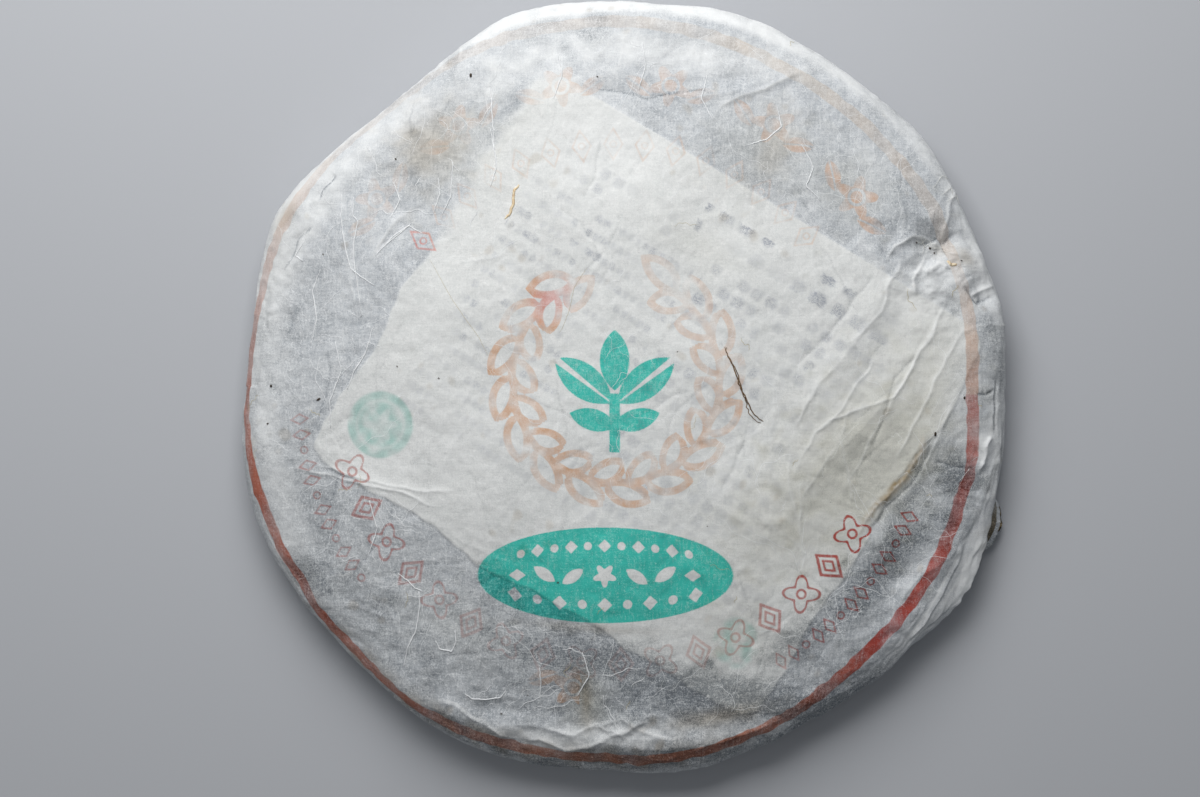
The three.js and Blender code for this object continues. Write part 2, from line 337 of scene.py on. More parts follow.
SECTION = section()
RIPPLES = ((23, 0.7, 0.34), (37, 2.9, 0.26))  # folds round the rim, phase, depth
CRUMPLED_SIDE = (318, 75, 1.5)  # its middle and half width in degrees, and how much deeper it is
PRESSED_IN = (359, 17, 2.6)  # a flatter stretch of the rim: middle, half width, and depth

# Where the paper stands off the rim at the lower right, all angles in degrees: a lip folded
# sharply back, and an ear of the layer under it. Middle and half width round the rim, reach,
# where it sits on the section and how far that spreads
LIP = (331, 15, 4.2, -3, 40)
EAR = (338.5, 9, 9.5, -46, 30)

PLEATS = 18
PLEAT_DEPTH = 1.1
GOLDEN = 0.6180339887  # its multiples spread evenly, so no two pleats are alike
PLEAT_STARTS = (np.arange(PLEATS) + 0.34 * (np.mod(np.arange(PLEATS) * GOLDEN, 1) - 0.5)) / PLEATS


def across_pleat(angle):
    """Which pleat an angle falls in, and the place across it from its front edge, from 0 to 1."""
    turns = np.mod(angle / (2 * math.pi) - PLEAT_STARTS[0], 1) + PLEAT_STARTS[0]
    which = np.searchsorted(PLEAT_STARTS, turns, side="right") - 1
    ends = np.append(PLEAT_STARTS[1:], PLEAT_STARTS[0] + 1)
    return which, (turns - PLEAT_STARTS[which]) / (ends - PLEAT_STARTS)[which]


def pleat_recess(angle):
    """How far the paper lies behind the pleats' front edges, as a share of the pleats' depth."""
    which, phase = across_pleat(angle)
    return (0.75 + 0.5 * np.mod((3 * which + 1) * GOLDEN, 1)) * rise(phase, 0.33, 1)


def rim_ripple(angle, path):
    """The rim's ripples and facets, pressed inwards, deeper on the crumpled side."""
    middle, half, gain = CRUMPLED_SIDE
    deeper = 1 + (gain - 1) * bump(degrees_from(angle, middle) / half)
    depth = sum(d * np.abs(np.sin(n * angle / 2 + phase)) for n, phase, d in RIPPLES)
    x, y = OUTLINE_RADIUS * angle, path
    facets = 0.15 * folded(x * 0.25, y, 6.5, 61, 4) + 0.06 * folded(x * 0.6, y, 2.4, 62, 4)
    middle, half, inwards = PRESSED_IN
    return (0.5 * depth + facets + 0.2) * deeper + inwards * bump(degrees_from(angle, middle) / half)


def on_wrapper(path, angle, lift=0.0):
    """The paper's place: the section's point at a path length, pushed along the section's normal
    by relief, ripple and pleats. Returns points in metres and the paper's own flat coordinates."""
    R = outline(angle)
    at = {k: np.interp(path, SECTION["path"], SECTION[k]) for k in SECTION}
    stretch = (R - OUTLINE_RADIUS) * np.minimum(at["r"] / (OUTLINE_RADIUS - SHOULDER_RUN), 1)
    r = at["r"] + stretch
    x, y = r * np.cos(angle), r * np.sin(angle)
    out = at["face"] * (broad_relief(x, y) + fine_relief(x, y)) + lift
    out = out + rise(at["lean"], -20, 8) * crease_lines(x, y)[0]
    out = out - at["rim"] * rim_ripple(angle, path) - PLEAT_DEPTH * at["pleat"] * pleat_recess(angle)
    r, z = r + at["nr"] * out, at["z"] + at["nz"] * out
    for (middle, half, reach, lean, spread), keen in ((LIP, 1.25), (EAR, 1.6)):
        where = np.clip(1 - np.abs(at["lean"] - lean) / spread, 0, 1) ** keen
        stands = where * bump(degrees_from(angle, middle) / half)
        if np.any(stands > 0):
            ragged = 1 + 0.05 * folded(OUTLINE_RADIUS * angle, path * 0.6, 9, 65, 4)
            r = r + reach * stands * ragged
            z = z + 0.4 * reach * stands * rise(lean, -40, -20)
    spot = np.stack([r * np.cos(angle) + MIDDLE[0], r * np.sin(angle) + MIDDLE[1], z], -1)
    flat = np.stack([(path + stretch) * np.cos(angle), (path + stretch) * np.sin(angle)], -1)
    return spot / 1000, flat


def surface(name, points, wrap=False, pole=False, spin=False, normals=None):
    """A mesh object from a grid of points: a face between each four neighbours. wrap joins the
    last column to the first, pole closes the last row to one point, spin turns the faces over,
    and normals, where given, make the shading run on across a seam between two pieces."""
    rows, columns = points.shape[:2]
    index = np.arange(rows * columns).reshape(rows, columns)
    if wrap:
        index = np.concatenate([index, index[:, :1]], axis=1)
    quads = np.stack([index[:-1, :-1], index[1:, :-1], index[1:, 1:], index[:-1, 1:]], -1).reshape(-1, 4)
    places = points.reshape(-1, 3)
    faces = quads
    caps = np.empty((0, 3), int)
    if pole:
        places = places[: (rows - 1) * columns + 1]
        faces = quads[: -(index.shape[1] - 1)]
        tip = np.full(index.shape[1] - 1, (rows - 1) * columns)
        caps = np.stack([index[-2, :-1], tip, index[-2, 1:]], -1)
    if spin:
        faces, caps = faces[:, ::-1], caps[:, ::-1]
    mesh = bpy.data.meshes.new(name)
    mesh.from_pydata(places.tolist(), [], faces.tolist() + caps.tolist())
    mesh.update()
    mesh.shade_smooth()
    if normals is not None:
        mesh.normals_split_custom_set_from_vertices(normals.reshape(-1, 3).tolist())
    made = bpy.data.objects.new(name, mesh)
    bpy.context.scene.collection.objects.link(made)
    return made


def keep(piece, name, values):
    """Stores numbers at the mesh's points for its material: one each, or three as a vector."""
    vector = values.ndim == 3
    kind, field = ("FLOAT_VECTOR", "vector") if vector else ("FLOAT", "value")
    count = len(piece.data.vertices) * (3 if vector else 1)
    numbers = values.astype(np.float32).ravel()[:count]
    piece.data.attributes.new(name, kind, "POINT").data.foreach_set(field, numbers)


def bake_map(piece, flat):
    """Lays the paper's flat coordinates out over the unit square, at one scale both ways."""
    flat = flat.reshape(-1, 2)
    corners = np.empty(len(piece.data.loops), np.int32)
    piece.data.loops.foreach_get("vertex_index", corners)
    low = flat.min(axis=0)
    spread = 0.005 + 0.99 * (flat[corners] - low) / (flat.max(axis=0) - low).max()
    piece.data.uv_layers.new(name="OFBake").data.foreach_set("uv", spread.astype(np.float32).ravel())


FACE_CELLS = 616
FACE_EDGE = float(np.interp(50, -SECTION["lean"], SECTION["path"]))  # turned 50 degrees under

side = np.linspace(-1, 1, FACE_CELLS + 1)
a, b = np.meshgrid(side, side)
x, y = a * np.sqrt(1 - b**2 / 2), b * np.sqrt(1 - a**2 / 2)
share, angle = np.hypot(x, y), np.arctan2(y, x)
tuck = -0.55 * rise(share, 0.985, 1)  # the edge goes in under the back's paper
face_points, face_flat = on_wrapper(share * FACE_EDGE, angle, tuck)
face_normals = np.cross(np.gradient(face_points, axis=1), np.gradient(face_points, axis=0))
face_normals /= np.maximum(np.linalg.norm(face_normals, axis=-1, keepdims=True), 1e-12)
u, v = face_flat[..., 0], face_flat[..., 1]
fields = {"paper": np.stack([u, v, 0 * u], -1)}  # what the paper's material reads, point by point


# What the paper's print is made of, as signed distances in millimetres, positive in the ink.
# It is block printed by hand: a red ring, a wreath round a green sprig, a green oval with
# blossoms left bare in it, and faded blossoms and lozenges in arcs round the rim.


def leaf(p, q, length, width):
    """Into a pointed leaf that lies along p: between two equal arcs."""
    bend = (length**2 + width**2) / (4 * width)
    return bend - np.hypot(p, np.abs(q) + bend - width / 2)


def blossom(p, q, radius, petals, turn=0.0):
    """Into a blossom: its radius waves round it once for each petal."""
    return radius * (0.76 + 0.24 * np.cos(petals * np.arctan2(q, p) + turn)) - np.hypot(p, q)


def lozenge(p, q, long, wide):
    """Into a lozenge with its points along p and q."""
    return (1 - 2 * np.abs(p) / long - 2 * np.abs(q) / wide) * long * wide / 2 / math.hypot(long, wide)


def line(edge, thick):
    """Into the drawn outline of a shape, from the distance into the shape."""
    return thick / 2 - np.abs(edge)


def on_arc(u, v, middle, radius, first, last, count):
    """Place along and outwards from the nearest of count even places on an arc, and its number."""
    step = (last - first) / (count - 1)
    round_it = np.mod(np.degrees(np.arctan2(v - middle[1], u - middle[0])) - first + 30, 360) - 30
    which = np.clip(np.round(round_it / step), 0, count - 1)
    off = np.radians(round_it - which * step)
    return radius * off, np.hypot(u - middle[0], v - middle[1]) - radius, which


def scattered(which, seed):
    """A fixed random share, from 0 to 1, for each whole number."""
    return np.mod(np.sin(which * 12.9898 + seed * 78.233) * 43758.5453, 1)


RING = ((-4.25, -2.3), 95.7, 3.3)  # middle, radius and breadth of the red line
ARCS = (-1.2, 0)  # middle of the arcs of blossoms and lozenges
WREATH = (-0.9, 1.7)
SPRIG = (-1.2, -1.0)
OVAL = ((-3.8, -48.5), 65.6, 24.6)  # middle, length and breadth
SEAL = ((-61.8, -10.0), 8.5)  # middle and radius
SMUDGE = (29.8, -66.0)
BARE = -9.0  # well outside every printed shape

ring_radius = np.hypot(u - RING[0][0], v - RING[0][1])
ring_angle = np.mod(np.degrees(np.arctan2(v - RING[0][1], u - RING[0][0])), 360)
turns = (0, 15, 30, 60, 90, 120, 150, 180, 195, 210, 240, 270, 285, 300, 315, 330, 346, 347.5, 360)
strays = (-1.3, 0.5, 1.5, 0.6, 1.1, 0, -0.6, 0, -1.4, -1.7, -0.7, -1.1, 0, 0, -1, 0.2, 0, 0.9, -1.3)
ring_middle = RING[1] + np.interp(ring_angle, turns, strays)
ring = RING[2] / 2 - np.abs(ring_radius - ring_middle) + 0.12 * rough(u, v, 5, 71)

# The sprig: a bud between two leaves on a short stalk, with bare midribs
bud_p, bud_q = turned(u, v, (SPRIG[0], SPRIG[1] + 7.5), 90)
sprig = leaf(bud_p, bud_q, 15.5, 7.6)
for degrees in (38, 142):
    c, s = math.cos(math.radians(degrees)), math.sin(math.radians(degrees))
    p, q = turned(u, v, (SPRIG[0] + 10.2 * c, SPRIG[1] - 4.0 + 10.2 * s), degrees)
    sprig = np.maximum(sprig, np.minimum(leaf(p, q, 18.5, 8.6), np.abs(q) - 0.5 - 0.04 * p))
    p, q = turned(u, v, (SPRIG[0] + 7.0 * c, SPRIG[1] - 12.0 + 7.0 * s), degrees - np.sign(c) * 22)
    sprig = np.maximum(sprig, leaf(p, q, 12.5, 5.6))
p, q = turned(u, v, (SPRIG[0], SPRIG[1] - 8.5), 90)
sprig = np.maximum(sprig, np.minimum(7.5 - np.abs(p), 1.35 - np.abs(q)))

# The oval, with a bare sprig in the middle, lozenges beside it and a row of dots over and under
oval_p, oval_q = u - OVAL[0][0], v - OVAL[0][1]
scale = np.hypot(oval_p / (OVAL[1] / 2), oval_q / (OVAL[2] / 2))
oval = (1 - scale) * OVAL[2] / 2 * (1 + 0.9 * np.abs(oval_p / OVAL[1]))
bare = blossom(oval_p, oval_q, 3.1, 5, math.pi / 2)
for place in (-15.5, -8.2, 8.2, 15.5):
    turn = 1 if abs(place) > 10 else -1
    p, q = turned(oval_p, oval_q, (place, 0.3 * turn), 35 * np.sign(place) * turn)
    bare = np.maximum(bare, leaf(p, q, 6.6, 2.9))
for way, spacing, size in ((1, 4.3, 1.7), (-1, 5.8, 1.9)):
    row = way * 7.6 * np.sqrt(np.maximum(1 - (oval_p / (OVAL[1] / 2 - 2)) ** 2, 0))
    nearest = np.clip(np.round(oval_p / spacing), -5, 5)
    p, q = oval_p - nearest * spacing, oval_q - row
    dot = size * 0.62 - np.hypot(p, q)
    mark = np.where(np.mod(nearest, 2) == 0, lozenge(p, q, 2 * size, 2 * size), dot)
    bare = np.maximum(bare, np.where(np.abs(oval_p) < 26, mark, BARE))
ends = lozenge(np.abs(oval_p) - 22.5, oval_q, 4.4, 3.2)
bare = np.maximum(bare, np.where(np.abs(oval_p) > 20, ends, BARE))

# The seals: pale green discs, the clearer one with a lighter blossom in a ring
seal_p, seal_q = u - SEAL[0][0], v - SEAL[0][1]
seal = SEAL[1] - np.hypot(seal_p, seal_q)
seal_bare = np.maximum(blossom(seal_p, seal_q, 4.6, 6), 0.4 - np.abs(np.hypot(seal_p, seal_q) - 6.2))
smudge = 1 - np.hypot((u - SMUDGE[0]) / 6.5, (v - SMUDGE[1]) / 7.5)
green = np.maximum(sprig, np.minimum(oval, -bare))
seal_share = (0.4 + 0.09 * rough(u, v, 5, 72)) * (1 - 0.42 * rise(seal_bare, -0.5, 0.5))
smudge_share = 0.2 + 0.12 * rough(u, v, 4, 75)
seal_share = rise(seal, -0.5, 0.3) * seal_share + rise(smudge, 0, 0.25) * smudge_share

# The wreath: leaves in two rows round a stalk, open at the top
wreath = np.full(u.shape, BARE)
for lean, first in ((-27, 114), (27, 124.4)):
    p, q, _ = on_arc(u, v, WREATH, 26.6, first, first + 301.6, 15)
    p, q = turned(p, q, (0, lean / 10), lean)
    wreath = np.maximum(wreath, line(leaf(p, q, 10.8, 5.0), 1.9))
wreath_radius = np.hypot(u - WREATH[0], v - WREATH[1])
stalk = 0.7 - np.abs(wreath_radius - 26.4)
wreath_angle = np.mod(np.degrees(np.arctan2(v - WREATH[1], u - WREATH[0])), 360)
wreath = np.maximum(wreath, np.where((wreath_angle > 112) | (wreath_angle < 68), stalk, BARE))

# The large blossoms, each between two veined leaves: six over the top of the print, and one at
# the foot, where the second place of the pair stays empty
large = np.full(u.shape, BARE)
for first, last, count in ((38, 142, 6), (262, 265, 2)):
    p, q, which = on_arc(u, v, ARCS, 78.5, first, last, count)
    if count == 2:
        p = np.where(which == 0, p, -99)
    petals = blossom(p, q, 5.6, 5, math.pi / 2)
    large = np.maximum(large, np.minimum(petals, np.abs(np.hypot(p, q) - 2.0) - 0.4))
    for way in (-1, 1):
        leaf_p, leaf_q = turned(p, q, (8.2 * way, -1.0), math.degrees(0.55) * way)
        veined = np.minimum(leaf(leaf_p, leaf_q, 8.6, 4.0), np.abs(leaf_q) - 0.25)
        large = np.maximum(large, veined)

# The small marks round the foot, drawn in outline: blossoms and double lozenges by turns
p, q, which = on_arc(u, v, ARCS, 71.5, 198, 328, 17)
flower = np.maximum(line(blossom(p, q, 4.7, 4, math.pi), 0.75), line(np.hypot(p, q) - 1.1, 0.6))
diamond = np.maximum(line(lozenge(p, q, 6.2, 8.4), 0.75), line(lozenge(p, q, 2.8, 4.0), 0.6))
small = np.where(np.mod(which, 2) == 0, flower, diamond)

# The smallest, outside them: narrow lozenges and dots by turns; and faint ones over the top
tiny = np.full(u.shape, BARE)
for first, last, count in ((186, 217, 12), (301, 336, 14)):
    p, q, which = on_arc(u, v, ARCS, 82.5, first, last, count)
    mark = np.where(np.mod(which, 3) == 2, np.hypot(p, q) - 0.9, lozenge(p, q, 2.6, 4.6))
    tiny = np.maximum(tiny, line(mark, 0.42))
p, q, _ = on_arc(u, v, ARCS, 62.0, 38, 143, 15)
high = np.maximum(line(lozenge(p, q, 4.8, 8.0), 0.5), line(np.hypot(p, q) - 0.8, 0.4))

red = np.maximum(np.maximum(ring, small), tiny)
tan = np.maximum(np.maximum(wreath, large), high)
fields["ink_edges"] = np.stack([red, green, tan], -1)

# How much of each ink is left, by degrees round the face: the ring is worn at the top, where
# fingers rub it
turns = (0, 12, 25, 50, 90, 130, 155, 175, 190, 215, 245, 270, 292, 305, 318, 335, 350, 360)
left = (0.6, 0.36, 0.2, 0.26, 0.16, 0.12, 0.3, 0.68, 0.9, 0.8, 0.7, 0.8, 0.85, 0.75, 0.9, 0.85, 0.7, 0.6)
ring_left = np.interp(ring_angle, turns, left) * (1 + 0.12 * rough(u, v, 12, 73))
turns = (180, 198, 214, 235, 262, 285, 300, 318, 334, 345)
left = (0.4, 0.62, 0.6, 0.34, 0.2, 0.3, 0.45, 0.85, 0.95, 0.9)
small_left = np.interp(ring_angle, turns, left)
near_ring = ring_radius > 89
red_left = np.clip(np.where(near_ring, ring_left, small_left), 0, 1)
green_left = np.where(v > -30, 0.92, 1.0)
turns = (0, 35, 45, 56, 70, 90, 110, 150, 240, 262)
left = (0.2, 0.34, 0.34, 0.28, 0.2, 0.16, 0.14, 0.14, 0.3, 0.36)
large_left = np.interp(ring_angle, turns, left) * np.clip(1 + 0.25 * rough(u, v, 7, 79), 0.4, 1.4)
one_mark = bump((ring_angle - 141) / 8)  # the upper left of the high ones is fresher and redder
high_left = 0.18 + 0.3 * one_mark
turns = (0, 40, 80, 120, 150, 200, 270, 330, 360)
left = (0.75, 0.6, 0.5, 0.95, 1, 1.1, 1.0, 0.9, 0.75)
wreath_left = 0.45 * np.interp(wreath_angle, turns, left)
out = np.hypot(u, v)
tan_left = np.where(out > 68, large_left, np.where(out > 50, high_left, wreath_left))
tan_left = tan_left * (1 + 0.25 * rough(u, v, 14, 74) + 0.2 * rough(u, v, 4, 76))
fields["ink_left"] = np.stack([red_left, green_left, np.clip(tan_left, 0.05, 1)], -1)
turns = (0, 20, 60, 140, 170, 215, 270, 300, 318, 360)
warm = np.interp(ring_angle, turns, (0.5, 0.15, 0, 0.2, 0.75, 0.8, 0.6, 0.7, 1, 0.9))
warm = np.where(near_ring, warm, np.clip(warm + 0.15, 0, 1))
redder = bump(np.hypot(wreath_angle - 128, (wreath_radius - 26) * 3) / 24)
redder = np.maximum(redder, one_mark * rise(out, 50, 54) * rise(-out, -70, -67))

# The inner sheet's own print shows through it as rows of soft grey dabs, broken by the fibres:
# first place, end and pitch along the rows, then across them, half size, darkness
p, q = turned(u + 0.14 * rough(u, v, 1.7, 77), v + 0.14 * rough(u, v, 1.7, 78), SHEET[0], SHEET[2])
blots = np.zeros(u.shape)
for number, (first, end, pitch, low, top, row_pitch, size, dark) in enumerate((
    (-4, 56, 4.1, -34, 38, 4.4, 1.4, 0.8),
    (-54, -6, 2.3, -34, 34, 4.4, 0.95, 0.65),
    (-12, 46, 6.1, 43, 50, 7.0, 2.1, 1.0),
    (-50, -16, 4.1, 38, 44, 4.4, 1.4, 0.5),
)):
    row = np.round((q - low) / row_pitch)
    shift = 0.4 * scattered(row, number)
    cell = np.round((p - first) / pitch + shift)
    along = p - first - (cell - shift) * pitch
    across = q - low - row * row_pitch
    keyed = cell + 61 * row
    wide = size * (0.75 + 0.45 * scattered(keyed, number + 5))
    inked = 0.55 + 0.45 * scattered(keyed, number + 2)
    there = rise(scattered(keyed, number + 9), 0.1, 0.5) * inked
    dab = 1 - rise(np.abs(along / wide) ** 3 + np.abs(across / size) ** 3, 0.1, 2.2)
    within = (p > first) & (p < end) & (q > low - 1) & (q < top)
    blots = np.maximum(blots, np.where(within, dark * there * dab, 0))
blots *= np.clip(0.95 + 0.35 * rough(u, v, 22, 81), 0.05, 1.25) * (0.6 + 0.4 * rise(v, -10, 30))
sheet = inside_sheet(u, v)
fields["under"] = np.stack([sheet, blots, warm], -1)
fields["redder"] = redder
fields["seals"] = np.clip(seal_share, 0, 1)

# Where dark leaf lies close behind the paper, with painted shade on the lower rim, the right side wall and
# the ear under the lip; where tea has stained it; and where it stands clear of the leaf and looks white, with
# painted highlights on lit folds of the rim: soft ovals (middle, half sizes, turn, strength)
# Leaf behind the paper, and painted shade: the ovals along the bottom rim, at the right side wall and at the
# ear
DARK_AND_SHADE = (
    ((0, -71), (22, 5), -14, 0.6), ((30, -80), (26, 6), -6, 0.85), ((60, -54), (13, 6), 48, 0.8),
    ((72, -42), (10, 5), 50, 0.8), ((85, -22), (5, 6), 20, 0.6), ((44, -66), (8, 4), 35, 0.5),
    ((-6, -84), (30, 5), 2, 0.3), ((-60, -64), (20, 12), -45, 0.15), ((34, 62), (26, 8), -31, 0.1),
    ((78, 44), (12, 7), -50, 0.25), ((88, 0), (5, 14), 4, 0.25), ((-83, 20), (6, 22), -12, 0.14),
    ((-30, -60), (24, 10), -20, 0.12), ((-74, -44), (14, 10), -60, 0.12), ((97, 10), (4, 14), 8, 0.25),
    ((70, 36), (9, 4), 30, 0.15), ((10, -97), (34, 3.5), 4, 0.9), ((-38, -92), (26, 3), -20, 0.6),
    ((55, -84), (16, 4), 34, 0.8), ((88, -24), (6, 3), 10, 0.8), ((86, -34), (9, 5), 66, 0.4),
    ((101, -2), (18, 4), 88, 0.22), ((101, -24), (14, 3.5), 80, 0.2), ((104.5, -41), (9, 5), 68, 1.0),
    ((-78, -30), (16, 5), -60, 0.2), ((-24, -70), (22, 8), -4, 0.2), ((74, -30), (8, 3), 52, 0.6),
    ((60, -20), (18, 10), 40, 0.22), ((-81, -51), (8, 6), -30, 0.45),
)
STAINS = (
    ((62, -18), (24, 16), 40, 1.0), ((68, -20), (12, 8), 50, 0.6), ((40, -38), (18, 14), 20, 0.45),
    ((80, 8), (10, 20), 0, 0.35), ((-42, 62), (14, 9), 40, 0.35), ((36, 60), (16, 10), -20, 0.3),
    ((-8, -82), (5, 9), 4, 0.8), ((-14, 72), (18, 6), 0, 0.05), ((30, -64), (9, 8), 20, 0.4),
    ((-92, 30), (4, 20), -18, 0.4), ((20, 36), (12, 5), -30, 0.25), ((104, -46), (14, 6), 66, 0.9),
    ((-40, -62), (16, 8), -20, 0.25), ((60, 50), (10, 10), 0, 0.3),
)
# Paper clear of the leaf, and painted highlights: the lit folds along the bottom rim and the bright facets at
# the right
CLEAR_AND_HIGHLIGHTS = (
    ((92.5, -17), (2.5, 5), -14, 0.8), ((92, -46), (13, 4.5), 64, 0.9), ((76, -66), (12, 3), 50, 0.5),
    ((0, -89), (16, 3), 3, 0.9), ((-24, -91), (12, 2.5), -8, 0.7), ((80, 26), (11, 8), 50, 0.65),
    ((92, 30), (5, 9), 20, 0.5), ((-91, -2), (5, 36), 2, 0.45), ((-80, 44), (4, 22), -42, 0.4),
    ((30, -91), (12, 2), 12, 0.5), ((-6, 62), (14, 12), 0, 0.5), ((-40, -12), (20, 12), 0, 0.2),
    ((12, 86), (30, 5), -6, 0.75), ((102, -15), (8, 30), 0, 0.6), ((-24, 83), (14, 6), 14, 0.5),
    ((87, -4), (4, 12), 4, 0.45), ((-68, -38), (22, 30), -30, 0.22), ((-34, -66), (30, 12), -20, 0.2),
    ((-80, 16), (12, 28), 0, 0.16), ((10, -72), (18, 6), 0, 0.16), ((98, -12), (3, 14), 4, 0.35),
)

# Small brown places, besides the seam
BROWNED = (
    ((104.5, -41), (9, 5), 68, 1.0), ((83, 35), (2.5, 1.6), 0, 0.22), ((89, 33), (3, 1.5), -40, 0.3),
    ((26, -85), (12, 2.5), 12, 0.5), ((-9, -80), (1.6, 7), 2, 0.45), ((-8, -62), (14, 1.2), -4, 0.25),
    ((-50, 62), (9, 8), 40, 0.38), ((-88, 44), (2, 6), -30, 0.4), ((40, 62), (4, 9), -20, 0.25),
)


def soft_ovals(u, v, ovals):
    """The sum of soft ovals, each falling off as a bell, with edges made ragged by roughness."""
    total = np.zeros(u.shape)
    ragged = np.clip(1 + 0.22 * rough(u, v, 9, 83) + 0.12 * rough(u, v, 3.5, 84), 0.35, 2)
    for middle, half, degrees, strength in ovals:
        p, q = turned(u, v, middle, degrees)
        total += strength * np.exp(-((p / half[0]) ** 2 + (q / half[1]) ** 2) * ragged)
    return total


# Whiter round the outline, most at the top: paper standing off the rim, and a painted highlight where the rim
# faces the lamp
rim_stand_off_and_highlight = np.interp(ring_angle, (0, 14, 60, 80, 150, 175, 200, 360), (0, 0.35, 0.8, 1, 0.8, 0.5, 0.2, 0))
beside_ring = np.interp(ring_angle, (100, 130, 170, 205, 230), (0, 0.5, 0.45, 0.45, 0))
inner_edge = bump((ring_radius - 90) / 8 + 0.15 * rough(u, v, 20, 85)) * beside_ring
crests = crease_lines(u, v)[1]
less_on_sheet = 1 - 0.7 * rise(sheet, -0.4, 0.4)
patches = (0.08 * rough(u, v, 17, 86) + 0.06 * rough(u, v, 6, 87)) * less_on_sheet
outer = rise(out, 96, 99) * rise(-out, -112, -103)
clear = soft_ovals(u, v, CLEAR_AND_HIGHLIGHTS) + outer * rim_stand_off_and_highlight + inner_edge
# Crease crests are whitened both as paper lifted off the leaf and as a painted highlight
clear = np.clip(clear + 0.9 * crests + np.maximum(patches, 0), 0, 1)
# Painted shade: darker towards the bottom of the face, off the inner sheet
lower = 0.2 * rise(-v - 0.6 * u, -5, 60) * less_on_sheet
# Painted shade in the furrows of the creases
furrow_shade = -0.6 * np.minimum(crests, 0)
# The dark layer: leaf close behind the paper and random patches, with the painted shade above
dark = np.clip(soft_ovals(u, v, DARK_AND_SHADE) + lower + np.maximum(-patches, 0) + furrow_shade, 0, 1)
far, place = from_line(u + 0.2 * rough(u, v, 5, 88), v + 0.2 * rough(u, v, 5, 89), SEAM)
seam = bump(far / 1.6) * np.interp(place, (0, 0.1, 0.2, 0.5, 0.8, 1), (0, 0.4, 0.7, 0.9, 0.5, 0))
seam = seam * np.clip(0.85 + 0.15 * rough(u, v, 1.3, 94), 0.5, 1.1)
spots = rise(rough(u, v, 6, 90) + 0.8 * rough(u, v, 30, 91), 2.4, 4.0) * 0.22
# Painted shade: browner and darker round the ring at the foot, on the side wall turned from the lamp
foot = bump((ring_radius - 95) / 7) * np.interp(ring_angle, (205, 225, 280, 300), (0, 0.3, 0.3, 0))
foot = foot * (0.8 + 0.4 * rough(u, v, 6, 92))
fields["brown"] = np.clip(soft_ovals(u, v, BROWNED) + seam + spots + foot, 0, 1)
fields["tone"] = np.stack([dark, np.clip(soft_ovals(u, v, STAINS), 0, 1), clear], -1)


# The paper's own material. Handmade cotton paper, pressed and air dried: matt, off-white, cloudy
# with long fibres, and thin enough for the leaf behind it to grey it. Its IOR is cellulose's, 1.5.


def linear(code):
    """A colour from its sRGB hex value, made linear, with full alpha."""
    parts = [int(code[i : i + 2], 16) / 255 for i in (1, 3, 5)]
    return (*[c / 12.92 if c <= 0.04045 else ((c + 0.055) / 1.055) ** 2.4 for c in parts], 1.0)


def add(tree, kind, inputs, **settings):
    """Adds a node: settings are its properties, inputs its sockets' values or the outputs linked."""
    made = tree.nodes.new(kind)
    for key, value in settings.items():
        setattr(made, key, value)
    for key, value in inputs.items():
        if isinstance(value, bpy.types.NodeSocket):
            tree.links.new(value, made.inputs[key])
        else:
            made.inputs[key].default_value = value
    return made


def mixed(tree, share, low, high, blend="MIX"):
    """The output of a colour mix, which every layer of the paper goes through."""
    made = add(tree, "ShaderNodeMix", {0: share, 6: low, 7: high}, data_type="RGBA", blend_type=blend)
    return made.outputs[2]


